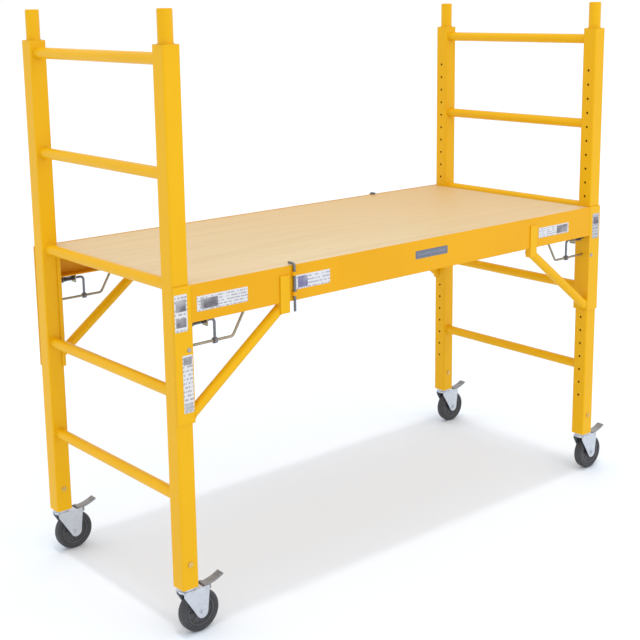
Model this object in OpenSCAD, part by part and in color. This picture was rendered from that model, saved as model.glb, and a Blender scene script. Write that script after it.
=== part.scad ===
// Rolling frame scaffold section: two ladder end frames on braked casters, joined by two side rails that carry a
// plywood platform. Millimetres. X is the length, Y the width, Z up; the floor is Z = 0.
// Corners: f front (-Y), r rear (+Y), l left (-X), r right (+X).

/* [Frame] */
// Post centre to post centre along the length
post_span_x = 1828.8; // [1400:0.1:2200]
// Post centre to post centre across the width
post_span_y = 723.6; // [600:0.1:900]
// Length of a post
post_len = 1524; // [1480:1:1900]
// Outside width of the square post tube
post_w = 54; // [50:1:60]
// Wall of the post tube
post_t = 3.5; // [2:0.1:5]
// Outside diameter of a rung
rung_d = 34; // [26:1:40]
// Wall of the rung tube
rung_t = 2.6; // [1.5:0.1:4]
// Rung centre above the post's lower end, for the lowest rung
rung_first = 266.7; // [220:0.1:320]
// Rung centre to rung centre
rung_pitch = 304.8; // [280:0.1:304.8]
// Rungs in an end frame
rung_count = 5; // [3:1:5]
// Height of a coupling pin above its post
pin_stand = 92; // [60:1:120]

/* [Platform] */
// Height of the platform's surface above the post's lower end
deck_up = 880; // [800:1:900]
// Thickness of the plywood
ply_t = 19; // [12:0.5:22]
// Height of a side rail
rail_h = 106; // [96:1:120]
// Steel thickness of the rails and the post brackets
rail_t = 4; // [3:0.5:5]
// Length of a post bracket
bracket_h = 391; // [340:1:420]
// Outside diameter of a diagonal brace
brace_d = 31.8; // [24:0.1:32]
// Pitch of the lock holes up a post
lock_pitch = 50.8; // [40:0.1:76.2]

/* [Casters] */
// Wheel diameter
wheel_d = 127; // [110:1:150]
// Tyre width
tyre_w = 32; // [28:1:34]
// Distance from the swivel axis to the wheel axis
trail = 40; // [36:1:44]

/* [Hidden] */
$fn = 64;
// clearances
socket_gap = 0.3;
slide_gap = 0.5;
run_gap = 0.06;
seat_gap = 0.3;
// frame
half_x = post_span_x / 2;
half_y = post_span_y / 2;
post_in = post_w - 2 * post_t;
base_z = wheel_d + 23;
post_top = base_z + post_len;
coupling_r = post_in / 2 - socket_gap;
coupling_t = 3;
coupling_in = 90;
spigot_r = coupling_r - 2.1;
corner_r = 5;
// platform
deck_z = base_z + deck_up;
rail_top = deck_z + 1.5;
rail_low = rail_top - rail_h;
ledge_z = deck_z - ply_t;
ledge_w = 34;
flange_w = 40;
web_x = post_w / 2 + slide_gap + rail_t;
out_y = half_y + web_x;
rail_half = half_x - web_x;
ledge_y = out_y - rail_t - ledge_w;
bracket_low = rail_top - bracket_h;
lip_x = rung_d / 2 + 2;
deck_half_x = rail_half - 3;
deck_half_y = out_y - rail_t - slide_gap;
joist_w = 40;
joist_h = 25;
joist_t = 2.5;
joist_xs = [-0.94, -0.33, 0.33, 0.94];
screw_ys = [-0.72, -0.26, 0.26, 0.72];
screw_r = 2.5;
screw_head_r = 5.5;
screw_head_h = 3;
// braces
brace_r = brace_d / 2;
brace_t = 2;
brace_low_z = bracket_low + 22;
brace_x = 355.4;
brace_y = -(web_x - brace_r - 0.7);
brace_flat_w = 34;
brace_flat_t = 4;
brace_flat_top = rail_low + 80;
brace_end_z = rail_low - 14;
brace_ang = atan2(brace_end_z - brace_low_z, brace_x - web_x);
brace_len = norm([brace_end_z - brace_low_z, brace_x - web_x]);
// platform locks
lock_z = rail_low - 10.5;
lock_r = 4;
lock_hole_r = 4.5;
lock_count_up = floor((post_len - (lock_z - base_z) - 110) / lock_pitch);
lock_count_down = floor((lock_z - base_z - 120) / lock_pitch);
lock_tip_x = post_w / 2 - 8;
washer_x = post_w / 2 + 22.4;
washer_t = 3;
washer_r = 10;
spring_len = 40;
spring_r = 8;
lug_x = washer_x + washer_t + spring_len;
handle_x = 127;
handle_bend = 12;
guide_z = rail_low - 74;
guide_r = 4;
guide_knee_x = 189.4;
guide_end_x = 234.4;
guide_bend = 14;
guide_ang = atan2(rail_low - guide_z, guide_end_x - guide_knee_x);
guide_cut = guide_bend * tan(guide_ang / 2);
eye_r = 9;
eye_gap = 0.4;
// deck latches
latch_x = 389.4;
latch_r = 4;
latch_y = out_y + 5.5;
latch_z = rail_top + 0.8 + latch_r;
latch_low = rail_low - 31;
latch_bend = 8;
latch_finger = 26;
clip_r = 7;
clip_h = 12;
clip_low = rail_low + 16;
clip_high = rail_low + 76;
// casters
wheel_r = wheel_d / 2;
crown_t = 4;
crown_z = wheel_d + 7;
race_z = crown_z + crown_t + 3;
fork_in = tyre_w / 2 + 3;
fork_t = 3;
fork_out = fork_in + fork_t;
fork_back = 20;
leg_r = 19;
king_r = 6;
axle_r = 4;
stem_in = 105;
stem_t = 3.5;
stem_pin_up = 75;
stem_pin_r = 4.2;
rim_r = wheel_r - 17.5;
pivot_x = trail + 18;
pivot_z = wheel_d + 4;
pivot_r = 3;
pivot_edge = 8;
pedal_w = 30;
shoe_gap = 3.2;
pedal_reach = pivot_x + 65;
mid_x = (pedal_reach - post_w / 2) / 2;

paint = [0.93, 0.62, 0.05];
zinc = [0.72, 0.74, 0.77];
dark = [0.2, 0.2, 0.22];
wood = [0.82, 0.69, 0.47];
steel = [0.35, 0.35, 0.38];

// points of a square of side w with rounded corners
function round_square(w, r, n = 4) =
    [for (q = [0:3]) for (i = [0:n])
        let (a = q * 90 + i * 90 / n, c = [[1, 1], [-1, 1], [-1, -1], [1, -1]][q] * (w / 2 - r))
        [c[0] + r * cos(a), c[1] + r * sin(a)]];

// a corner seen from its post: +x runs in along the platform, +y in across it; sx and sy are -1 or 1 in the frame
module corner(sx, sy) {
    translate([sx * half_x - mid_x, sy * half_y, 0])
        mirror([sx > 0 ? 1 : 0, 0, 0])
            mirror([0, sy > 0 ? 1 : 0, 0])
                children();
}

// a caster is the same way round at every corner, with its wheel trailing to +x
module caster(sx, sy) {
    translate([sx * half_x - mid_x, sy * half_y, 0])
        children();
}

// a bent rod: starts at the origin heading +x and curves up towards +z
module elbow(rod_r, bend_r, ang) {
    translate([0, 0, bend_r])
        rotate([90, 0, 0])
            rotate([0, 0, -90])
                rotate_extrude(angle = ang)
                    translate([bend_r, 0])
                        circle(rod_r);
}

module along_x(r, h) {
    rotate([0, 90, 0])
        cylinder(r = r, h = h);
}

module along_y(r, h) {
    rotate([-90, 0, 0])
        cylinder(r = r, h = h);
}

module post() {
    difference() {
        translate([0, 0, base_z])
            linear_extrude(height = post_len)
                difference() {
                    polygon(round_square(post_w, corner_r));
                    polygon(round_square(post_in, corner_r - post_t));
                }
        for (i = [-lock_count_down:lock_count_up])
            translate([post_w / 2 - post_t - 1, 0, lock_z + i * lock_pitch])
                along_x(lock_hole_r, post_t + 2);
        translate([0, -post_w, base_z + stem_pin_up])
            along_y(stem_pin_r + socket_gap, 2 * post_w);
    }
}

module post_fl() { color(paint) corner(-1, -1) post(); }
module post_rl() { color(paint) corner(-1, 1) post(); }
module post_fr() { color(paint) corner(1, -1) post(); }
module post_rr() { color(paint) corner(1, 1) post(); }

// a plug welded inside the post, its upper part turned down to the spigot the next post drops over
module coupling_pin() {
    difference() {
        union() {
            translate([0, 0, post_top - coupling_in])
                cylinder(r = coupling_r, h = coupling_in);
            translate([0, 0, post_top - coupling_in])
                cylinder(r = spigot_r, h = coupling_in + pin_stand - 3);
            translate([0, 0, post_top + pin_stand - 3])
                cylinder(r1 = spigot_r, r2 = spigot_r - 2, h = 3);
        }
        translate([0, 0, post_top - coupling_in - 1])
            cylinder(r = spigot_r - coupling_t, h = coupling_in + pin_stand + 2);
    }
}

module coupling_pins() {
    color(paint)
        for (sx = [-1, 1])
            for (sy = [-1, 1])
                corner(sx, sy)
                    coupling_pin();
}

module rungs(sx) {
    span = post_span_y - post_w;
    for (i = [0:rung_count - 1])
        translate([sx * half_x - mid_x, -span / 2, base_z + rung_first + i * rung_pitch])
            difference() {
                along_y(rung_d / 2, span);
                translate([0, -1, 0])
                    along_y(rung_d / 2 - rung_t, span + 2);
            }
}

module rungs_left() { color(paint) rungs(-1); }
module rungs_right() { color(paint) rungs(1); }

// the rail's section: a web, a flange turned in along the bottom and a ledge the plywood lies on
module side_rail() {
    ledge = ledge_z - rail_low;
    translate([-rail_half, -out_y, rail_low])
        rotate([90, 0, 90])
            linear_extrude(height = 2 * rail_half)
                polygon([[0, 0], [flange_w, 0], [flange_w, rail_t], [rail_t, rail_t], [rail_t, ledge - rail_t],
                         [rail_t + ledge_w, ledge - rail_t], [rail_t + ledge_w, ledge], [rail_t, ledge],
                         [rail_t, rail_h], [0, rail_h]]);
}

module side_rail_front() { color(paint) translate([-mid_x, 0, 0]) side_rail(); }
module side_rail_rear() { color(paint) translate([-mid_x, 0, 0]) rotate([0, 0, 180]) side_rail(); }

// a channel round the post's inner face: full flange outside, short lip inside that clears the rungs
module bracket() {
    difference() {
        translate([0, 0, bracket_low]) {
            translate([web_x - rail_t, -web_x, 0])
                cube([rail_t, 2 * web_x, bracket_h]);
            translate([-post_w / 2, -web_x, 0])
                cube([post_w / 2 + web_x, rail_t, bracket_h]);
            translate([lip_x, web_x - rail_t, 0])
                cube([web_x - lip_x, rail_t, bracket_h]);
        }
        translate([post_w / 2, 0, lock_z])
            along_x(lock_hole_r, web_x);
    }
}

module bracket_fl() { color(paint) corner(-1, -1) bracket(); }
module bracket_rl() { color(paint) corner(-1, 1) bracket(); }
module bracket_fr() { color(paint) corner(1, -1) bracket(); }
module bracket_rr() { color(paint) corner(1, 1) bracket(); }

// a tube from the bracket to the rail, its upper end joggled outwards and flattened on the rail's face
module brace() {
    difference() {
        union() {
            translate([web_x, brace_y, brace_low_z])
                rotate([0, 90 - brace_ang, 0])
                    translate([0, 0, -brace_d])
                        cylinder(r = brace_r, h = brace_len + brace_d);
            translate([brace_x - brace_flat_w / 2, -web_x - brace_flat_t, brace_end_z - 18])
                cube([brace_flat_w, brace_flat_t + brace_r + 2, rail_low - brace_end_z + 16]);
            translate([brace_x - brace_flat_w / 2, -web_x - brace_flat_t, brace_end_z - 18])
                cube([brace_flat_w, brace_flat_t, brace_flat_top - brace_end_z + 18]);
        }
        translate([web_x, brace_y, brace_low_z])
            rotate([0, 90 - brace_ang, 0])
                translate([0, 0, -2 * brace_d])
                    cylinder(r = brace_r - brace_t, h = brace_len + 2 * brace_d - 24);
        translate([web_x - 3 * brace_d, -2 * post_w, brace_low_z - 3 * brace_d])
            cube([3 * brace_d, 4 * post_w, 6 * brace_d]);
    }
}

module brace_fl() { color(paint) corner(-1, -1) brace(); }
module brace_rl() { color(paint) corner(-1, 1) brace(); }
module brace_fr() { color(paint) corner(1, -1) brace(); }
module brace_rr() { color(paint) corner(1, 1) brace(); }

// the screw positions of the platform
module at_screws() {
    for (kx = joist_xs)
        for (ky = screw_ys)
            translate([kx * deck_half_x - mid_x, ky * deck_half_y, deck_z])
                children();
}

module deck_panel() {
    color(wood)
        difference() {
            translate([-deck_half_x - mid_x, -deck_half_y, ledge_z])
                cube([2 * deck_half_x, 2 * deck_half_y, ply_t]);
            at_screws() {
                translate([0, 0, -ply_t - 1])
                    cylinder(r = screw_r + socket_gap, h = ply_t + 2);
                translate([0, 0, -screw_head_h])
                    cylinder(r1 = screw_r + socket_gap, r2 = screw_head_r + socket_gap + 0.1, h = screw_head_h + 0.1);
            }
        }
}

module deck_joists() {
    color(paint)
        difference() {
            for (kx = joist_xs)
                translate([kx * deck_half_x - mid_x, 0, ledge_z - joist_h / 2])
                    difference() {
                        cube([joist_w, 2 * ledge_y, joist_h], center = true);
                        cube([joist_w - 2 * joist_t, 2 * ledge_y + 2, joist_h - 2 * joist_t], center = true);
                    }
            at_screws()
                translate([0, 0, -ply_t - joist_t - 1])
                    cylinder(r = screw_r + socket_gap, h = joist_t + 2);
        }
}

module deck_screws() {
    color(zinc)
        at_screws() {
            translate([0, 0, -ply_t - 9])
                cylinder(r = screw_r, h = ply_t + 9 - 0.2);
            translate([0, 0, -screw_head_h])
                cylinder(r1 = screw_r, r2 = screw_head_r, h = screw_head_h - 0.1);
        }
}

// the sprung locking pin: tip in the post's hole, spring washer, and a handle bent down to an eye round the guide bar
module lock_pin() {
    difference() {
        union() {
            translate([lock_tip_x, 0, lock_z])
                along_x(lock_r, handle_x - handle_bend - lock_tip_x);
            translate([handle_x - handle_bend, 0, lock_z])
                mirror([0, 0, 1])
                    elbow(lock_r, handle_bend, 90);
            translate([handle_x, 0, guide_z + eye_r - 3])
                cylinder(r = lock_r, h = lock_z - handle_bend - guide_z - eye_r + 3);
            translate([handle_x - 5, 0, guide_z])
                along_x(eye_r, 10);
            translate([washer_x, 0, lock_z])
                along_x(washer_r, washer_t);
        }
        translate([handle_x - 20, 0, guide_z])
            along_x(guide_r + eye_gap, 40);
    }
}

module lock_pin_fl() { color(zinc) corner(-1, -1) lock_pin(); }
module lock_pin_rl() { color(zinc) corner(-1, 1) lock_pin(); }
module lock_pin_fr() { color(zinc) corner(1, -1) lock_pin(); }
module lock_pin_rr() { color(zinc) corner(1, 1) lock_pin(); }

// the space the coil spring fills between its washer and the lug
module lock_spring() {
    translate([washer_x + washer_t, 0, lock_z])
        difference() {
            along_x(spring_r, spring_len);
            translate([-1, 0, 0])
                along_x(lock_r + 0.6, spring_len + 2);
        }
}

module lock_spring_fl() { color(steel) corner(-1, -1) lock_spring(); }
module lock_spring_rl() { color(steel) corner(-1, 1) lock_spring(); }
module lock_spring_fr() { color(steel) corner(1, -1) lock_spring(); }
module lock_spring_rr() { color(steel) corner(1, 1) lock_spring(); }

// a lug under the rail that holds the pin and the spring, and the guard bar the handle slides along
module lock_guide() {
    lug_in = web_x - flange_w;
    difference() {
        translate([lug_x, -14, lock_z - 14])
            cube([rail_t, 14 - lug_in, rail_low - lock_z + 14]);
        translate([lug_x - 1, 0, lock_z])
            along_x(lock_hole_r - 0.3, rail_t + 2);
    }
    difference() {
        union() {
            translate([web_x, 0, guide_z])
                along_x(guide_r, guide_knee_x - guide_cut - web_x);
            translate([guide_knee_x - guide_cut, 0, guide_z])
                elbow(guide_r, guide_bend, guide_ang);
            translate([guide_knee_x, 0, guide_z])
                rotate([0, 90 - guide_ang, 0])
                    translate([0, 0, guide_cut])
                        cylinder(r = guide_r, h = 100 - guide_cut);
        }
        translate([guide_knee_x - 50, -50, rail_low])
            cube([200, 100, 200]);
    }
}

module lock_guides() {
    color(zinc)
        for (sx = [-1, 1])
            for (sy = [-1, 1])
                corner(sx, sy)
                    lock_guide();
}

// the rails are one part used twice, so what sits on the rear one is turned half round
module on_rail(turn) {
    translate([-mid_x, 0, 0])
        rotate([0, 0, turn])
            children();
}

// a swivelling rod in two clips on the rail's face, its upper end bent in over the platform's edge
module deck_latch() {
    translate([latch_x - half_x, -latch_y, 0]) {
        translate([0, 0, latch_low])
            cylinder(r = latch_r, h = latch_z - latch_bend - latch_low);
        translate([0, latch_bend, latch_z])
            rotate([0, 0, -90])
                mirror([0, 0, 1])
                    elbow(latch_r, latch_bend, 90);
        translate([0, latch_bend, latch_z])
            along_y(latch_r, latch_finger - latch_bend);
        translate([0, 0, clip_low + clip_h + seat_gap])
            cylinder(r = latch_r + 1.4, h = 5);
    }
}

module deck_latch_front() { color(zinc) on_rail(0) deck_latch(); }
module deck_latch_rear() { color(zinc) on_rail(180) deck_latch(); }

module latch_clip(low) {
    translate([latch_x - half_x, -latch_y, low])
        difference() {
            union() {
                cylinder(r = clip_r, h = clip_h);
                translate([-clip_r, 0, 0])
                    cube([2 * clip_r, latch_y - out_y, clip_h]);
            }
            translate([0, 0, -1])
                cylinder(r = latch_r + run_gap, h = clip_h + 2);
            translate([-2 * clip_r, latch_y - out_y, -1])
                cube([4 * clip_r, 2 * clip_r, clip_h + 2]);
        }
}

module latch_clips() {
    color(paint)
        for (turn = [0, 180])
            for (low = [clip_low, clip_high])
                on_rail(turn)
                    latch_clip(low);
}

// the caster's fixed half: a stem in the post, a flange it stands on, the upper race and the riveted king pin
module caster_stem() {
    difference() {
        union() {
            translate([0, 0, base_z - 4])
                cylinder(r = post_w / 2, h = 4);
            translate([0, 0, base_z - 0.5])
                cylinder(r = coupling_r, h = stem_in + 0.5);
        }
        translate([0, 0, base_z])
            cylinder(r = coupling_r - stem_t, h = stem_in + 1);
        translate([0, -post_w, base_z + stem_pin_up])
            along_y(stem_pin_r + socket_gap, 2 * post_w);
    }
    translate([0, 0, race_z + seat_gap])
        cylinder(r = post_w / 2 - 5, h = base_z - 3.5 - race_z - seat_gap);
    translate([0, 0, crown_z - seat_gap - 2])
        cylinder(r = king_r, h = base_z - 3.5 - crown_z + seat_gap + 2);
    translate([0, 0, crown_z - seat_gap - 4.5])
        cylinder(r = king_r + 3, h = 4.5);
}

module caster_stems() {
    color(zinc)
        for (sx = [-1, 1])
            for (sy = [-1, 1])
                caster(sx, sy)
                    caster_stem();
}

module caster_pin() {
    translate([0, -post_w / 2 - 3, base_z + stem_pin_up]) {
        along_y(8, 3);
        along_y(stem_pin_r, post_w + 8);
        translate([0, post_w + 3, 0])
            along_y(7, 2);
    }
}

module caster_pins() {
    color(zinc)
        for (sx = [-1, 1])
            for (sy = [-1, 1])
                caster(sx, sy)
                    caster_pin();
}

// the outline of a fork leg: wide at the crown, where the brake's pivot is, with edges that draw in to the axle
function leg_outline() =
    let (dx = trail + fork_back, dz = crown_z - 9 - wheel_r, dist = norm([dx, dz]),
         a0 = atan2(-dz, dx) - asin(leg_r / dist) - 90)
    concat([[-fork_back, crown_z + crown_t], [-fork_back, crown_z - 9]],
           [for (i = [0:10]) [trail + leg_r * cos(a0 - i * a0 / 10), wheel_r + leg_r * sin(a0 - i * a0 / 10)]],
           [[pivot_x + pivot_edge, pivot_z - pivot_edge], [pivot_x + pivot_edge, crown_z + crown_t]]);

module fork() {
    difference() {
        union() {
            for (y = [-fork_in, fork_out])
                translate([0, y, 0])
                    rotate([90, 0, 0])
                        linear_extrude(height = fork_t)
                            polygon(leg_outline());
            translate([-fork_back, -fork_out, crown_z])
                cube([fork_back + trail + 6, 2 * fork_out, crown_t]);
            translate([0, 0, crown_z])
                cylinder(r = post_w / 2 - 3, h = race_z - crown_z);
        }
        translate([0, 0, crown_z - 1])
            cylinder(r = king_r + run_gap, h = race_z - crown_z + 2);
        translate([trail, -2 * fork_out, wheel_r])
            along_y(axle_r + 0.2, 4 * fork_out);
    }
    translate([pivot_x, -fork_out - 2, pivot_z])
        along_y(pivot_r, 2 * fork_out + 4);
}

module fork_fl() { color(zinc) caster(-1, -1) fork(); }
module fork_rl() { color(zinc) caster(-1, 1) fork(); }
module fork_fr() { color(zinc) caster(1, -1) fork(); }
module fork_rr() { color(zinc) caster(1, 1) fork(); }

// the wheel's bolt with its head and nut
module axle() {
    translate([trail, -fork_out - 5, wheel_r]) {
        along_y(axle_r, 2 * fork_out + 13);
        rotate([-90, 0, 0])
            cylinder(r = 7.2, h = 5, $fn = 6);
        translate([0, 2 * fork_out + 5, 0])
            rotate([-90, 0, 0])
                cylinder(r = 7.2, h = 6, $fn = 6);
    }
}

module axle_fl() { color(zinc) caster(-1, -1) axle(); }
module axle_rl() { color(zinc) caster(-1, 1) axle(); }
module axle_fr() { color(zinc) caster(1, -1) axle(); }
module axle_rr() { color(zinc) caster(1, 1) axle(); }

module hub() {
    boss = fork_in - seat_gap;
    rim = tyre_w / 2 - 2;
    translate([trail, 0, wheel_r])
        rotate([90, 0, 0])
            rotate_extrude()
                polygon([[axle_r + run_gap, -boss], [13, -boss], [14, -7], [rim_r - 6, -7], [rim_r - 4, -rim],
                         [rim_r, -rim], [rim_r, rim], [rim_r - 4, rim], [rim_r - 6, 7], [14, 7], [13, boss],
                         [axle_r + run_gap, boss]]);
}

module hub_fl() { color(dark) caster(-1, -1) hub(); }
module hub_rl() { color(dark) caster(-1, 1) hub(); }
module hub_fr() { color(dark) caster(1, -1) hub(); }
module hub_rr() { color(dark) caster(1, 1) hub(); }

module tyre() {
    half = tyre_w / 2;
    translate([trail, 0, wheel_r])
        rotate([90, 0, 0])
            rotate_extrude()
                polygon([[rim_r, -half + 2], [wheel_r - 9, -half], [wheel_r - 3.5, -half + 1], [wheel_r - 1, -half + 4],
                         [wheel_r, -half + 8], [wheel_r, half - 8], [wheel_r - 1, half - 4], [wheel_r - 3.5, half - 1],
                         [wheel_r - 9, half], [rim_r, half - 2]]);
}

module tyre_fl() { color(dark) caster(-1, -1) tyre(); }
module tyre_rl() { color(dark) caster(-1, 1) tyre(); }
module tyre_fr() { color(dark) caster(1, -1) tyre(); }
module tyre_rr() { color(dark) caster(1, 1) tyre(); }

// a foot lever with the brake shoe below it, on a pin between the fork's legs
module pedal() {
    shoe = wheel_r + shoe_gap;
    toe = [for (a = [21, 32.6]) [trail + shoe * sin(a) - pivot_x, wheel_r + shoe * cos(a) - pivot_z]];
    translate([pivot_x, 0, pivot_z])
        difference() {
            union() {
                translate([0, pedal_w / 2, 0])
                    rotate([90, 0, 0])
                        linear_extrude(height = pedal_w)
                            polygon([[-4, -3], toe[0], toe[1], [22, -9], [20, 3], [42, 11.5], [63, 20], [65, 25.5],
                                     [61.5, 26], [40, 15.8], [20, 10], [0, 8], [-5.5, 5]]);
                translate([0, -fork_in + seat_gap, 0])
                    along_y(6, 2 * fork_in - 2 * seat_gap);
            }
            translate([0, -2 * fork_in, 0])
                along_y(pivot_r + run_gap, 4 * fork_in);
        }
}

module pedal_fl() { color(dark) caster(-1, -1) pedal(); }
module pedal_rl() { color(dark) caster(-1, 1) pedal(); }
module pedal_fr() { color(dark) caster(1, -1) pedal(); }
module pedal_rr() { color(dark) caster(1, 1) pedal(); }

post_fl();
post_rl();
post_fr();
post_rr();
coupling_pins();
rungs_left();
rungs_right();
side_rail_front();
side_rail_rear();
bracket_fl();
bracket_rl();
bracket_fr();
bracket_rr();
brace_fl();
brace_rl();
brace_fr();
brace_rr();
deck_panel();
deck_joists();
deck_screws();
lock_pin_fl();
lock_pin_rl();
lock_pin_fr();
lock_pin_rr();
lock_spring_fl();
lock_spring_rl();
lock_spring_fr();
lock_spring_rr();
lock_guides();
deck_latch_front();
deck_latch_rear();
latch_clips();
caster_stems();
caster_pins();
fork_fl();
fork_rl();
fork_fr();
fork_rr();
axle_fl();
axle_rl();
axle_fr();
axle_rr();
hub_fl();
hub_rl();
hub_fr();
hub_rr();
tyre_fl();
tyre_rl();
tyre_fr();
tyre_rr();
pedal_fl();
pedal_rl();
pedal_fr();
pedal_rr();
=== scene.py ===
"""Looks of the rolling frame scaffold section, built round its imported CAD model."""

import bpy
import numpy as np
from mathutils import Matrix, Vector


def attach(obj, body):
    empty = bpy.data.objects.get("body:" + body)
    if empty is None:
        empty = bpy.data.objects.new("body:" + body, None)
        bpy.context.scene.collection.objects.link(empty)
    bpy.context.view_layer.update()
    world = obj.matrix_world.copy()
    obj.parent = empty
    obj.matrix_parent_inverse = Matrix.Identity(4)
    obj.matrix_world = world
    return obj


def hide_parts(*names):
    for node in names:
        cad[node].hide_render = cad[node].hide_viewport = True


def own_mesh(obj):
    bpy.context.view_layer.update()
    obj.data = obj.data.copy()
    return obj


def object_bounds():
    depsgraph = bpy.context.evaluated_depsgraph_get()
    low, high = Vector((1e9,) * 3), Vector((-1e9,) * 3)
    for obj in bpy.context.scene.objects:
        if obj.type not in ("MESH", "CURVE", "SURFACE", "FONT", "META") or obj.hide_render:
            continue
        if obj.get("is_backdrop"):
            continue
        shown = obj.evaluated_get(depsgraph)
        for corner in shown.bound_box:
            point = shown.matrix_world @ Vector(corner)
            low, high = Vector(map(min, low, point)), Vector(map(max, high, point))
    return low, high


# The whole section as it leaves the works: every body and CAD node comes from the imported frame, in metres,
# with the floor at z = 0, the platform's length along x and its front rail towards -y.
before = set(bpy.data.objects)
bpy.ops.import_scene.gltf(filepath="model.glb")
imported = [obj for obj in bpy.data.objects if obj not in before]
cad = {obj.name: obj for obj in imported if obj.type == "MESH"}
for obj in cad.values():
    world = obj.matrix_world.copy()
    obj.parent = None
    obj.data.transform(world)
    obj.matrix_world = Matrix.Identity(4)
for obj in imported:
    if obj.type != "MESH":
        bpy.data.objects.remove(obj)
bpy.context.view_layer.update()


# The viewpoint: a standing person off the front left corner, looking a little down across the platform. The
# lens is shifted, which keeps the posts nearly upright.
EYE = (-2.7016, -2.9913, 1.7725)
LOOK_YAW, LOOK_DOWN, LOOK_ROLL = np.radians(40.67), np.radians(11.40), np.radians(0.73)
level = np.cos(LOOK_DOWN)
ahead = Vector((np.sin(LOOK_YAW) * level, np.cos(LOOK_YAW) * level, -np.sin(LOOK_DOWN)))
bpy.ops.object.camera_add()
camera = bpy.context.object
camera.matrix_world = (
    Matrix.Translation(EYE)
    @ ahead.to_track_quat("-Z", "Y").to_matrix().to_4x4()
    @ Matrix.Rotation(-LOOK_ROLL, 4, "Z")
)
camera.data.sensor_width = 36
camera.data.lens = 66.81375
camera.data.shift_y = -0.1203125
camera.data.clip_start, camera.data.clip_end = 0.05, 60
bpy.context.scene.camera = camera


# The powder coat on all the welded steel: a half-gloss traffic yellow with a fine orange-peel skin and a
# slow drift in shade, worn on its edges and rubbed in streaks across the posts. The rails' coat is a little
# deeper.
class Finish:
    """A finish under construction: its shader, the Object coordinates, and the steps that every finish
    uses."""

    def __init__(self, name):
        self.material = bpy.data.materials.new(name)
        self.material.use_nodes = True
        self.tree = self.material.node_tree
        self.shader = next(n for n in self.tree.nodes if n.type == "BSDF_PRINCIPLED")
        self.place = self.add("ShaderNodeTexCoord").outputs["Object"]

    def add(self, kind, inputs=(), **props):
        """A node of one kind with its properties and its unlinked or linked inputs set."""
        made = self.tree.nodes.new(kind)
        for key, value in props.items():
            setattr(made, key, value)
        for key, value in dict(inputs).items():
            if isinstance(value, bpy.types.NodeSocket):
                self.tree.links.new(value, made.inputs[key])
            else:
                made.inputs[key].default_value = value
        return made

    def wire(self, output, name):
        """Joins an output to one of the shader's inputs."""
        self.tree.links.new(output, self.shader.inputs[name])

    def fix(self, **values):
        """Sets the shader's own constant inputs, named with _ for a space."""
        for key, value in values.items():
            self.shader.inputs[key.replace("_", " ")].default_value = value

    def stretched(self, scale):
        """Object coordinates scaled along x, y and z."""
        return self.add("ShaderNodeMapping", {"Vector": self.place, "Scale": scale}).outputs["Vector"]

    def noise(self, scale, detail=3.0, rough=0.5, vector=None):
        """Fractal noise between 0 and 1."""
        return self.add(
            "ShaderNodeTexNoise",
            {"Vector": vector or self.place, "Scale": scale, "Detail": detail, "Roughness": rough},
        ).outputs["Fac"]

    def ramp(self, value, stops):
        """A colour ramp: stops are (position, grey or rgb)."""
        made = self.add("ShaderNodeValToRGB", {"Fac": value})
        elements = made.color_ramp.elements
        for i, (at, colour) in enumerate(stops):
            element = elements[i] if i < 2 else elements.new(at)
            element.position = at
            rgb = (colour,) * 3 if np.isscalar(colour) else colour
            element.color = (*rgb, 1)
        return made.outputs["Color"]

    def mix(self, share, a, b):
        """Colour a where share is 0, b where it is 1."""
        made = self.add("ShaderNodeMix", data_type="RGBA")
        for socket, value in ((made.inputs[0], share), (made.inputs[6], a), (made.inputs[7], b)):
            if isinstance(value, bpy.types.NodeSocket):
                self.tree.links.new(value, socket)
            elif socket.type == "RGBA":
                socket.default_value = (*value, 1)
            else:
                socket.default_value = value
        return made.outputs[2]

    def math(self, kind, a, b):
        """One arithmetic step on two values."""
        return self.add("ShaderNodeMath", {0: a, 1: b}, operation=kind).outputs[0]

    def edges(self, radius):
        """1 on edges sharper than the radius, 0 on flats, by how far a rounded normal leans off the true
        one."""
        soft = self.add("ShaderNodeBevel", {"Radius": radius}, samples=4).outputs["Normal"]
        flat = self.add("ShaderNodeNewGeometry").outputs["Normal"]
        made = self.add("ShaderNodeVectorMath", {0: soft, 1: flat}, operation="DOT_PRODUCT")
        return self.ramp(made.outputs["Value"], [(0.75, 1.0), (0.97, 0.0)])

    def relief(self, height, distance, strength=1.0, round_edges=0.0):
        """Bump from a height, over edges rounded by a small radius."""
        made = self.add("ShaderNodeBump", {"Height": height, "Distance": distance, "Strength": strength})
        if round_edges:
            soft = self.add("ShaderNodeBevel", {"Radius": round_edges}, samples=4)
            self.tree.links.new(soft.outputs["Normal"], made.inputs["Normal"])
        self.wire(made.outputs["Normal"], "Normal")


SPECK, WORN, RUBBED = (0.72, 0.34, 0.01), (0.62, 0.31, 0.06), (0.72, 0.40, 0.06)


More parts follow.
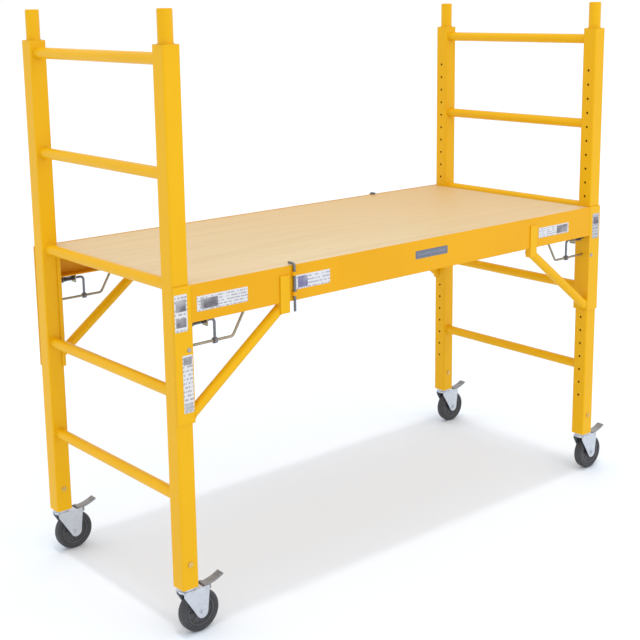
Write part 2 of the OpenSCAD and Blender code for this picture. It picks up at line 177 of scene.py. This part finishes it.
def powder_coat(name, deep, light):
    """Powder coat over steel: a drift between two shades, with specks, worn edges and rub marks over it."""
    coat = Finish(name)
    drift = coat.ramp(coat.noise(3.2, 4), [(0.3, 0.0), (0.7, 1.0)])
    shade = coat.mix(drift, deep, light)
    specks = coat.ramp(coat.noise(620, 2), [(0.70, 0.0), (0.76, 1.0)])
    shade = coat.mix(coat.math("MULTIPLY", specks, 0.25), shade, SPECK)
    chips = coat.ramp(coat.noise(46, 6, 0.7), [(0.52, 0.0), (0.66, 1.0)])
    chips = coat.math("MULTIPLY", coat.edges(0.0016), chips)
    shade = coat.mix(coat.math("MULTIPLY", chips, 0.45), shade, WORN)
    rub = coat.ramp(coat.noise(16, 8, 0.75, coat.stretched((1, 1, 7))), [(0.60, 0.0), (0.70, 1.0)])
    shade = coat.mix(coat.math("MULTIPLY", rub, 0.16), shade, RUBBED)
    coat.wire(shade, "Base Color")
    coat.wire(coat.ramp(coat.noise(60, 4), [(0.3, 0.27), (0.75, 0.40)]), "Roughness")
    coat.fix(Metallic=0.0, IOR=1.5, Specular_IOR_Level=0.16)
    peel = coat.math("ADD", coat.noise(330, 2), coat.math("MULTIPLY", coat.noise(2100, 1), 0.25))
    coat.relief(peel, 0.00022, 0.45, 0.0011)
    return coat.material


yellow_coat = powder_coat("yellow_powder_coat", (0.815, 0.428, 0.003), (0.850, 0.458, 0.004))
rail_coat = powder_coat("rail_powder_coat", (0.790, 0.372, 0.003), (0.830, 0.408, 0.004))


def dress(material, *starts):
    """Gives every CAD node whose name starts with one of these a material."""
    for name, node in cad.items():
        if name.startswith(starts):
            node.data.materials.clear()
            node.data.materials.append(material)


dress(yellow_coat, "post_", "rungs_", "coupling_pins", "bracket_", "brace_", "deck_joists")
dress(rail_coat, "side_rail_", "latch_clips")


# The platform: one sheet of sanded softwood plywood, its face grain along the length and its plies showing on
# the cut edges, held down by countersunk screws.
GRAIN = [(0.32, (0.64, 0.49, 0.275)), (0.5, (0.69, 0.545, 0.315)), (0.68, (0.72, 0.58, 0.35))]
PORE, BLUSH, REAR_RIGHT_TONE = (0.56, 0.39, 0.19), (0.72, 0.50, 0.29), (0.66, 0.42, 0.165)
DARK_PLY, PALE_PLY, PLY_PAIR = (0.50, 0.33, 0.17), (0.78, 0.60, 0.38), 0.0054


def plywood():
    """Plywood: long wavy grain lines on the faces, deeper in colour towards the rear right, and alternate
    light and dark plies on the edges, told from the faces by how far their normal leans from upright."""
    wood = Finish("sanded_plywood")
    sway = wood.noise(1.4, 3, 0.5, wood.stretched((0.5, 3.0, 1)))
    lanes = wood.add("ShaderNodeSeparateXYZ", {"Vector": wood.place})
    across = wood.math("ADD", lanes.outputs["Y"], wood.math("MULTIPLY", sway, 0.11))
    lengthwise = wood.math("MULTIPLY", lanes.outputs["X"], 0.035)
    plane = wood.add("ShaderNodeCombineXYZ", {"X": lengthwise, "Y": across, "Z": 0.0}).outputs["Vector"]
    rings = wood.noise(26, 5, 0.62, plane)
    pores = wood.noise(700, 2, 0.5, wood.stretched((0.03, 1, 1)))
    face = wood.ramp(rings, GRAIN)
    open_pores = wood.ramp(pores, [(0.55, 0.0), (0.72, 1.0)])
    face = wood.mix(wood.math("MULTIPLY", open_pores, 0.22), face, PORE)
    blush = wood.ramp(wood.noise(2.2, 2), [(0.45, 0.0), (0.8, 1.0)])
    face = wood.mix(wood.math("MULTIPLY", blush, 0.35), face, BLUSH)
    # the face grows deeper in colour towards the rear right, by position alone
    to_right = wood.math("MULTIPLY", lanes.outputs["X"], 0.35)
    to_rear = wood.math("MULTIPLY", lanes.outputs["Y"], 0.7)
    rear_right_share = wood.math("ADD", wood.math("ADD", to_right, to_rear), 0.5)
    face = wood.mix(wood.ramp(rear_right_share, [(0.0, 0.0), (1.0, 0.95)]), face, REAR_RIGHT_TONE)
    ply = wood.math("SINE", wood.math("MULTIPLY", lanes.outputs["Z"], 2 * np.pi / PLY_PAIR), 0.0)
    edge = wood.mix(wood.ramp(ply, [(0.4, 0.0), (0.6, 1.0)]), DARK_PLY, PALE_PLY)
    normal = wood.add("ShaderNodeNewGeometry").outputs["Normal"]
    upright = wood.add("ShaderNodeSeparateXYZ", {"Vector": normal}).outputs["Z"]
    flat = wood.ramp(wood.math("ABSOLUTE", upright, 0.0), [(0.4, 0.0), (0.6, 1.0)])
    wood.wire(wood.mix(flat, edge, face), "Base Color")
    wood.wire(wood.ramp(pores, [(0.3, 0.50), (0.8, 0.66)]), "Roughness")
    wood.fix(IOR=1.45, Specular_IOR_Level=0.35)
    wood.relief(wood.math("ADD", rings, wood.math("MULTIPLY", pores, 0.7)), 0.0004, 0.35, 0.0008)
    return wood.material


dress(plywood(), "deck_panel")


# The plated steel: zinc with a faint crystal pattern. It is dark on the lock pins and deck latches, bright on
# the casters, olive on the bent guide bars, and gold on the deck's screws and the pins that hold the casters.
def zinc_plate(name, tone, rough, spread=0.72):
    """Zinc plate: a metal broken into faint spangles, with dull clouding. The dullest of it has its tone
    times the spread."""
    plate = Finish(name)
    cells = plate.add("ShaderNodeTexVoronoi", {"Vector": plate.place, "Scale": 140.0}).outputs["Color"]
    spangle = plate.add("ShaderNodeSeparateColor", {"Color": cells}).outputs[0]
    cloud = plate.noise(24, 5, 0.6)
    blend = plate.math("ADD", plate.math("MULTIPLY", spangle, 0.35), plate.math("MULTIPLY", cloud, 0.65))
    light, dull = np.array(tone), np.array(tone) * spread
    plate.wire(plate.ramp(blend, [(0.25, tuple(dull)), (0.7, tuple(light))]), "Base Color")
    plate.wire(plate.ramp(blend, [(0.2, rough + 0.14), (0.8, rough)]), "Roughness")
    plate.fix(Metallic=0.85)
    plate.relief(plate.math("ADD", plate.noise(380, 3), spangle), 0.00012, 0.4, 0.0008)
    return plate.material


hardware_zinc = zinc_plate("zinc_hardware", (0.22, 0.22, 0.24), 0.36)
olive_zinc = zinc_plate("olive_zinc", (0.42, 0.36, 0.24), 0.34)
caster_zinc = zinc_plate("zinc_casters", (0.64, 0.67, 0.72), 0.34, 0.90)
gold_zinc = zinc_plate("gold_zinc", (0.74, 0.50, 0.16), 0.36, 0.85)
dress(hardware_zinc, "lock_pin_", "deck_latch_")
dress(olive_zinc, "lock_guides")
dress(caster_zinc, "caster_stems", "fork_", "axle_")
dress(gold_zinc, "caster_pins", "deck_screws")


# The springs on the lock pins: oiled wire, wound closer at both ends. They take the place of the plain
# sleeves and stay with the frame, where their inner end bears on the lug.
def moulded(name, tone, rough, grain):
    """A dark moulded, coated or oiled skin: even colour with faint clouding, dust and a fine grain."""
    made = Finish(name)
    cloud = made.noise(18, 4, 0.6)
    dark, pale = np.array(tone) * 0.78, np.array(tone) * 1.25
    skin = made.ramp(cloud, [(0.3, tuple(dark)), (0.75, tuple(pale))])
    dust = made.ramp(made.noise(75, 6, 0.7), [(0.55, 0.0), (0.8, 1.0)])
    made.wire(made.mix(made.math("MULTIPLY", dust, 0.12), skin, (0.34, 0.33, 0.31)), "Base Color")
    made.wire(made.ramp(made.noise(140, 3), [(0.3, rough - 0.08), (0.7, rough + 0.08)]), "Roughness")
    made.fix(IOR=1.5, Specular_IOR_Level=0.45)
    made.relief(made.noise(grain, 3), 0.00025, 0.4, 0.0012)
    return made.material


def surface(name, grids, material, body, replaces=()):
    """One mesh from several grids. A grid is rows x columns of points, with its columns joined round, and its
    first and last rows closed by a face, unless the rows are joined round too (a ring)."""
    points, faces, start = [], [], 0
    for grid, ring in grids:
        rows, cols = grid.shape[:2]
        points.append(grid.reshape(-1, 3))
        r = np.arange(rows if ring else rows - 1)[:, None]
        c = np.arange(cols)[None, :]
        up, right = (r + 1) % rows, (c + 1) % cols
        quads = np.stack([r * cols + c, r * cols + right, up * cols + right, up * cols + c], -1)
        faces += (quads.reshape(-1, 4) + start).tolist()
        if not ring:
            faces.append((np.arange(cols)[::-1] + start).tolist())
            faces.append((np.arange(cols) + (rows - 1) * cols + start).tolist())
        start += rows * cols
    mesh = bpy.data.meshes.new(name)
    mesh.from_pydata(np.concatenate(points).tolist(), [], faces)
    mesh.polygons.foreach_set("use_smooth", [len(f) == 4 for f in faces])
    mesh.materials.append(material)
    mesh.update()
    made = bpy.data.objects.new(name, mesh)
    bpy.context.scene.collection.objects.link(made)
    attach(made, body)
    if replaces:
        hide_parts(*replaces)
    return made


SLANT = (0.31, 0.87, 0.39)  # a direction that no rod here starts along


def rod(path, radius, sides=14, ring=False):
    """A round rod along a path: at each point a circle square to the path. Where the circle starts is
    carried along from the point before without twist, by taking off the part of it that lies along the
    path. The radius may vary from point to point."""
    path = np.asarray(path, float)
    ahead_of = np.roll(path, -1, 0) - np.roll(path, 1, 0)
    if not ring:
        ahead_of[0], ahead_of[-1] = path[1] - path[0], path[-1] - path[-2]
    ahead_of /= np.linalg.norm(ahead_of, axis=1)[:, None]
    side = np.cross(ahead_of[0], SLANT)
    sides_out = np.empty_like(path)
    for i, way in enumerate(ahead_of):
        side = side - way * (side @ way)
        side /= np.linalg.norm(side)
        sides_out[i] = side
    other = np.cross(ahead_of, sides_out)
    turn = np.linspace(0, 2 * np.pi, sides, endpoint=False)
    radius = np.broadcast_to(np.asarray(radius, float), (len(path),))[:, None, None]
    circle = np.cos(turn)[None, :, None] * sides_out[:, None] + np.sin(turn)[None, :, None] * other[:, None]
    return path[:, None] + radius * circle


MIDDLE_X = -0.048  # the casters trail to +x, so the middle of the posts is not that of the whole
POST_X = {"l": MIDDLE_X - 0.9144, "r": MIDDLE_X + 0.9144}
POST_Y = {"f": -0.3618, "r": 0.3618}
CORNERS = ("fl", "rl", "fr", "rr")


def post_centre(corner):
    """Where a post stands, as (x, y). Its corner is named front or rear, then left or right."""
    return POST_X[corner[1]], POST_Y[corner[0]]


LOCK_Z, LUG_REACH = 0.915, 0.0924
COIL_START, COIL_LENGTH, COIL_TURNS = 0.055, 0.035, 8.5
COIL_R, WIRE_R = 0.0064, 0.00125
EVEN_SHARE = 0.12
spring_wire = moulded("spring_wire", (0.075, 0.075, 0.082), 0.34, 300.0)
spring_wire.node_tree.nodes["Principled BSDF"].inputs["Metallic"].default_value = 0.7
for corner in CORNERS:
    x, y = post_centre(corner)
    inward = -np.sign(x)
    share = np.linspace(0, 1, 240)
    # the pitch is smaller at both ends, so most of the advance follows an S curve
    curve = 3 * share**2 - 2 * share**3
    advance = COIL_START + COIL_LENGTH * (EVEN_SHARE * share + (1 - EVEN_SHARE) * curve)
    angle = 2 * np.pi * COIL_TURNS * share
    across, up = COIL_R * np.cos(angle), COIL_R * np.sin(angle)
    wire = rod(np.stack([x + inward * advance, y + across, LOCK_Z + up], -1), WIRE_R, 10)
    sleeve = "lock_spring_" + corner
    spring = surface("coil_" + corner, [(wire, False)], spring_wire, "frame", [sleeve])
    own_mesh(spring)


# The wheels: a solid dark tyre with a round-shouldered tread, moulded onto a core with a thin web, a boss and
# eight ribs on each face. Both are profiles turned about the axle, and the axle bolt passes through the boss.
def soften(loop, reach, steps=5):
    """Rounds the corners of a closed loop: each becomes a quadratic curve that leaves its two sides at a
    given reach from the corner, or at 0.45 of a short side."""
    loop = np.asarray(loop, float)
    back, on = np.roll(loop, 1, 0) - loop, np.roll(loop, -1, 0) - loop
    first = loop + back * np.minimum(reach / np.linalg.norm(back, axis=1), 0.45)[:, None]
    last = loop + on * np.minimum(reach / np.linalg.norm(on, axis=1), 0.45)[:, None]
    t = np.linspace(0, 1, steps)[None, :, None]
    curve = (1 - t) ** 2 * first[:, None] + 2 * t * (1 - t) * loop[:, None] + t**2 * last[:, None]
    return curve.reshape(-1, loop.shape[1])


def turned(profile, centre, steps=96):
    """A ring about the y axis: every profile point (radius, y) goes round the centre in the x-z plane. The
    profile is a closed loop that runs towards +y along its outside."""
    turn = np.linspace(0, 2 * np.pi, steps, endpoint=False)[:, None]
    r, y = np.asarray(profile, float).T
    return np.asarray(centre, float) + np.stack([r * np.cos(turn), y + 0 * turn, r * np.sin(turn)], -1)


MM = 0.001
TRAIL, WHEEL_R = 0.040, 0.0635
TYRE_LOOP = [
    *[(46.1, -13.8), (54, -15.9), (60.5, -15.2), (63.3, -9), (63.5, 0)],
    *[(63.3, 9), (60.5, 15.2), (54, 15.9), (46.1, 13.8)],
]
CORE_LOOP = [
    *[(4.1, -18.7), (13, -18.7), (14.5, -7.5), (37.5, -7), (41, -13.6), (46, -13.6)],
    *[(46, 13.6), (41, 13.6), (37.5, 7), (14.5, 7.5), (13, 18.7), (4.1, 18.7)],
]
TYRE_ROUND, CORE_ROUND, WHEEL_STEPS = 2.6 * MM, 1.4 * MM, 128
RIBS, RIB_R, RIB_FACE = 8, 0.0027, 0.0072
rib_run = np.linspace(0.012, 0.041, 6)
tyre_rubber = moulded("tyre_rubber", (0.042, 0.042, 0.045), 0.52, 900.0)
wheel_core = moulded("wheel_core", (0.070, 0.070, 0.075), 0.42, 520.0)
for corner in CORNERS:
    x, y = post_centre(corner)
    axle = np.array([x + TRAIL, y, WHEEL_R])
    wheel = "wheel_" + corner
    tyre = turned(soften(np.array(TYRE_LOOP) * MM, TYRE_ROUND), axle, WHEEL_STEPS)
    surface("rolling_tyre_" + corner, [(tyre, True)], tyre_rubber, wheel, ["tyre_" + corner])
    core = [(turned(soften(np.array(CORE_LOOP) * MM, CORE_ROUND), axle, WHEEL_STEPS), True)]
    for angle in 2 * np.pi / RIBS * np.arange(RIBS):
        spoke = np.array([np.cos(angle), 0, np.sin(angle)])
        for face in (-RIB_FACE, RIB_FACE):
            rib = axle + (0, face, 0) + rib_run[:, None] * spoke
            core.append((rod(rib, RIB_R, 12), False))
    surface("wheel_core_" + corner, core, wheel_core, wheel, ["hub_" + corner])


# The brake pedals: a pressed channel of grey coated steel that curls up to a ridged toe pad, on a barrel
# round the pivot, with a block under it that bears on the tyre.
def pressed(path, section):
    """A section carried along a path in the x-z plane. Its points are (y, height), with height square to the
    path, and it runs towards -y along its top."""
    ahead_of = np.gradient(path, axis=0)
    ahead_of /= np.linalg.norm(ahead_of, axis=1)[:, None]
    y, h = np.asarray(section, float).T
    x = path[:, :1] - ahead_of[:, 1:] * h
    z = path[:, 1:] + ahead_of[:, :1] * h
    return np.stack([x, y + 0 * x, z], -1)


def block(loop, low, high):
    """An outline in x and z, running towards +x along its top, taken from one y to another."""
    loop = np.asarray(loop, float)
    ys = np.array([low, high])[:, None]
    return np.stack([loop[:, 0] + 0 * ys, ys + 0 * loop[:, 0], loop[:, 1] + 0 * ys], -1)


def pedal_back(reach):
    """How high the pedal's back stands over the pivot at a reach from it, both in mm: 8, plus 0.02 of the
    reach, plus 0.0039 of its square, which curls the toe up."""
    return 8.0 + 0.02 * reach + 0.0039 * reach**2


def crossbar(x, z, half, radius, sides):
    """A rod along y, centred on y = 0, at a place in the x-z plane."""
    across = np.linspace(-half, half, 5)
    return rod(np.stack([x + 0 * across, across, z + 0 * across], -1), radius, sides)


PIVOT_X, PIVOT_Z = 0.058, 0.131
HEEL, TOE, TOE_RIDGES = -4, 62.2, (45, 50, 55, 60)
RIDGE_HALF, RIDGE_R = 0.011, 0.0011
BARREL_HALF, BARREL_R = 0.0186, 0.006
SHOE_HALF, SHOE_ROUND, FOLD_ROUND = 0.0112, 1.2 * MM, 0.7 * MM
CHANNEL = np.array([
    *[(13.5, 0), (-13.5, 0), (-13.5, -6), (-11.5, -6)],
    *[(-11.5, -2), (11.5, -2), (11.5, -6), (13.5, -6)],
]) * MM
SHOE = np.array([(-4, 5), (20, 7.2), (21.6, -9), (17.9, -11.1), (5.9, -5.1), (-4, -3)]) * MM
pedal_coat = moulded("pedal_coat", (0.270, 0.272, 0.280), 0.40, 420.0)
for corner in CORNERS:
    x, y = post_centre(corner)
    pivot = np.array([x + PIVOT_X, y, PIVOT_Z])
    reach = np.linspace(HEEL, TOE, 28)
    back = np.stack([reach, pedal_back(reach)], -1) * MM
    parts = [pressed(back, soften(CHANNEL, FOLD_ROUND, 4))]
    parts += [crossbar(at * MM, pedal_back(at) * MM, RIDGE_HALF, RIDGE_R, 10) for at in TOE_RIDGES]
    parts.append(crossbar(0, 0, BARREL_HALF, BARREL_R, 28))
    parts.append(block(soften(SHOE, SHOE_ROUND), -SHOE_HALF, SHOE_HALF))
    grids = [(part + pivot, False) for part in parts]
    surface("brake_pedal_" + corner, grids, pedal_coat, "brake_" + corner, ["pedal_" + corner])


# The weld beads, under the same coat: a rippled ring round each rung end, each spigot's foot and each brace's
# foot, and a run down the joint between each rail's end and its bracket.
def bead(path, radius, closed):
    """A rod whose radius ripples along its length: a fine wave, one for each drop of weld as it froze, and a
    slow one whose start depends on the bead's height."""
    along = np.concatenate([[0], np.cumsum(np.linalg.norm(np.diff(path, axis=0), axis=1))])
    drops = np.sin(2 * np.pi * along / DROP_LENGTH)
    sway = np.sin(2 * np.pi * along / SWAY_LENGTH + path[0, 2] * 40)
    return rod(path, radius * (1 + 0.13 * drops + 0.10 * sway), 8, closed), closed


def oval(centre, first, second):
    """A closed oval of 150 points: the centre, plus the cosine of the turn times one half axis, plus its sine
    times the other."""
    turn = np.linspace(0, 2 * np.pi, 150, endpoint=False)[:, None]
    return np.array(centre) + np.cos(turn) * first + np.sin(turn) * second


DROP_LENGTH, SWAY_LENGTH = 0.0024, 0.031
RING_BEAD, SPIGOT_BEAD, SEAM_BEAD = 0.0024, 0.0017, 0.0019
POST_FOOT, POST_HEAD = 0.150, 1.674
RUNG_Z = POST_FOOT + 0.2667 + 0.3048 * np.arange(5)
RUNG_END, RUNG_R = 0.0276, 0.0178
SPIGOT_R, JUST_OVER = 0.0218, 0.0006
BRACE_X, BRACE_Y, BRACE_FOOT, BRACE_R, BRACE_LEAN = 0.0322, 0.0149, 0.6625, 0.0165, 1.2612
SEAM_X, SEAM_Y, SEAM_LOW, SEAM_TOP = 0.0318, 0.0312, 0.9295, 1.0275
for corner in CORNERS:
    x, y = post_centre(corner)
    in_x, in_y = -np.sign(x), -np.sign(y)
    beads = []
    for z in RUNG_Z:
        rung_end = (x, y + in_y * RUNG_END, z)
        beads.append(bead(oval(rung_end, (RUNG_R, 0, 0), (0, 0, RUNG_R)), RING_BEAD, True))
    spigot_foot = (x, y, POST_HEAD + JUST_OVER)
    beads.append(bead(oval(spigot_foot, (SPIGOT_R, 0, 0), (0, SPIGOT_R, 0)), SPIGOT_BEAD, True))
    brace_foot = (x + in_x * BRACE_X, y - in_y * BRACE_Y, BRACE_FOOT)
    beads.append(bead(oval(brace_foot, (0, BRACE_R, 0), (0, 0, BRACE_LEAN * BRACE_R)), RING_BEAD, True))
    fall = np.linspace(SEAM_LOW, SEAM_TOP, 160)
    seam = np.stack([x + in_x * SEAM_X + 0 * fall, y - in_y * SEAM_Y + 0 * fall, fall], -1)
    beads.append(bead(seam, SEAM_BEAD, False))
    surface("weld_beads_" + corner, beads, yellow_coat, "frame")


# The bolt heads: a low plated dome on each bracket's outer flange, at the inner side of its post. The dome's
# outline is turned about the bolt, and mirrored for the rear.
BOLT_IN, FLANGE_Y, BOLT_Z, DOME_ROUND = 0.0184, 0.3933, 0.851, 0.8 * MM
DOME = np.array([(0.05, -4.0), (3.6, -3.8), (6.1, -2.5), (6.9, -0.6), (6.9, 0.4), (0.05, 0.4)]) * MM
bolt_zinc = zinc_plate("bolt_zinc", (0.46, 0.44, 0.45), 0.32)
dome = soften(DOME, DOME_ROUND)
for side, face, outline in (("front", -FLANGE_Y, dome), ("rear", FLANGE_Y, dome[::-1] * (1, -1))):
    bolts_x = (POST_X["l"] + BOLT_IN, POST_X["r"] - BOLT_IN)
    heads = [(turned(outline, (bolt_x, face, BOLT_Z), 40), True) for bolt_x in bolts_x]
    surface("bolt_heads_" + side, heads, bolt_zinc, "frame")


# The labels: thin printed film stuck on the front rail and on the brackets' flanges, scuffed all over. Their
# print is only patchy blocks and broken lines, with nothing to read.
def printed(name, low, high, rows, paper, ink, blocks):
    """Printed film: rows of short dashes, and dark blocks (centre u, centre v, half width, half height). u
    and v run from 0 to 1 over the label, from its low corner to its high one."""
    film = Finish(name)
    wide, tall = high[0] - low[0], high[1] - low[1]
    to_label = {"Location": (-low[0] / wide, 0, -low[1] / tall), "Scale": (1 / wide, 1.0, 1 / tall)}
    at = film.add("ShaderNodeMapping", {"Vector": film.place, **to_label}).outputs["Vector"]
    split = film.add("ShaderNodeSeparateXYZ", {"Vector": at})
    u, v = split.outputs["X"], split.outputs["Z"]
    row = film.math("FLOOR", film.math("MULTIPLY", v, float(rows)), 0.0)
    run = film.math("MULTIPLY", u, 60.0 * wide / 0.17)
    words = film.add("ShaderNodeCombineXYZ", {"X": run, "Y": film.math("MULTIPLY", row, 3.7)})
    dashes = film.ramp(film.noise(0.5, 1, 0.5, words.outputs["Vector"]), [(0.47, 0.0), (0.50, 1.0)])
    bands = film.math("SINE", film.math("MULTIPLY", v, 2 * np.pi * rows), 0.0)
    mark = film.math("MULTIPLY", dashes, film.math("GREATER_THAN", bands, 0.15))
    mark = film.math("MULTIPLY", mark, 0.55)
    for centre_u, centre_v, half_u, half_v in blocks:
        off_u = film.math("ABSOLUTE", film.math("SUBTRACT", u, centre_u), 0.0)
        off_v = film.math("ABSOLUTE", film.math("SUBTRACT", v, centre_v), 0.0)
        inside_u, inside_v = film.math("LESS_THAN", off_u, half_u), film.math("LESS_THAN", off_v, half_v)
        inside = film.math("MULTIPLY", inside_u, inside_v)
        patchy = film.ramp(film.noise(24, 1), [(0.30, 0.35), (0.68, 1.0)])
        mark = film.math("MAXIMUM", mark, film.math("MULTIPLY", inside, patchy))
    scuff = film.ramp(film.noise(90, 5, 0.7), [(0.3, 0.86), (0.7, 1.0)])
    tone = film.mix(mark, paper, ink)
    film.wire(film.mix(scuff, tuple(np.array(paper) * 0.7), tone), "Base Color")
    film.wire(film.ramp(film.noise(60, 3), [(0.3, 0.32), (0.7, 0.48)]), "Roughness")
    film.fix(Specular_IOR_Level=0.3)
    film.relief(film.noise(240, 2), 0.0001, 0.3)
    return film.material


WHITE, GREY, SLATE = (0.72, 0.71, 0.71), (0.50, 0.50, 0.52), (0.150, 0.165, 0.215)
DARK_INK, BLUE_INK, SLATE_INK = (0.10, 0.085, 0.105), (0.16, 0.15, 0.30), (0.22, 0.235, 0.29)
FILM_FRONT, FILM_BACK, FILM_ROUND = -0.39375, -0.3932, 0.003
# for each label: its low and high corners (x from the posts' middle, z), rows of dashes, paper, ink and
# blocks
LABELS = {
    "rail_left": [(-0.866, 0.953), (-0.692, 0.996), 5, WHITE, DARK_INK, (0.24, 0.45, 0.17, 0.33)],
    "rail_latch": [(-0.516, 0.957), (-0.384, 0.999), 4, WHITE, BLUE_INK, (0.20, 0.50, 0.14, 0.40)],
    "rail_middle": [(-0.022, 0.972), (0.125, 0.998), 3, SLATE, SLATE_INK, (0.5, 0.5, 0.44, 0.16)],
    "rail_right": [(0.589, 0.956), (0.756, 0.992), 5, WHITE, DARK_INK, (0.78, 0.5, 0.18, 0.38)],
    "bracket_left": [
        *[(-0.9395, 0.906), (-0.898, 1.010), 9, WHITE, DARK_INK],
        *[(0.5, 0.70, 0.40, 0.16), (0.5, 0.24, 0.40, 0.12)],
    ],
    "strip_left": [
        *[(-0.919, 0.673), (-0.886, 0.838), 14, WHITE, DARK_INK],
        *[(0.5, 0.90, 0.42, 0.07), (0.5, 0.10, 0.42, 0.07)],
    ],
    "bracket_right": [(0.898, 0.912), (0.936, 1.004), 8, GREY, DARK_INK, (0.5, 0.72, 0.38, 0.14)],
}
for place, (low, high, rows, paper, ink, *blocks) in LABELS.items():
    (x0, z0), (x1, z1) = (low[0] + MIDDLE_X, low[1]), (high[0] + MIDDLE_X, high[1])
    film = printed("label_" + place, (x0, z0), (x1, z1), rows, paper, ink, blocks)
    edge = soften([(x0, z1), (x1, z1), (x1, z0), (x0, z0)], FILM_ROUND)
    surface("label_" + place, [(block(edge, FILM_FRONT, FILM_BACK), False)], film, "frame")


# The floor and the light: a white studio under an even sky, with a weak sun nearly overhead for the
# platform's shadow and a soft key from the front.
PALE_FLOOR = [(0.3, (0.872, 0.925, 0.985)), (0.7, (0.885, 0.935, 0.99))]
bpy.ops.mesh.primitive_plane_add(size=80, location=(0, 0, 0))
floor = bpy.context.object
floor.name = "studio_floor"
sweep = Finish("studio_floor")
sweep.wire(sweep.ramp(sweep.noise(0.6, 2), PALE_FLOOR), "Base Color")
sweep.fix(Roughness=0.85, Specular_IOR_Level=0.1)
floor.data.materials.append(sweep.material)
floor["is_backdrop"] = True

world = bpy.data.worlds.new("studio")
world.use_nodes = True
sky = world.node_tree.nodes["Background"].inputs
sky["Color"].default_value = (1.0, 1.02, 1.06, 1)
sky["Strength"].default_value = 1.0
bpy.context.scene.world = world

sun = bpy.data.lights.new("overhead", "SUN")
sun.energy, sun.angle = 0.52, np.radians(4)
overhead = bpy.data.objects.new("overhead", sun)
overhead.rotation_euler = (np.radians(2), np.radians(-2), 0)
bpy.context.scene.collection.objects.link(overhead)

panel = bpy.data.lights.new("key", "AREA")
panel.energy, panel.size, panel.color = 26, 2.6, (1.0, 0.985, 0.95)
PLATFORM = Vector((0, 0, 0.8))
key = bpy.data.objects.new("key", panel)
key.location = (0.8, -4.4, 3.6)
key.rotation_euler = (PLATFORM - key.location).to_track_quat("-Z", "Y").to_euler()
bpy.context.scene.collection.objects.link(key)
bpy.context.scene.view_settings.view_transform = "Standard"

low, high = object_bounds()
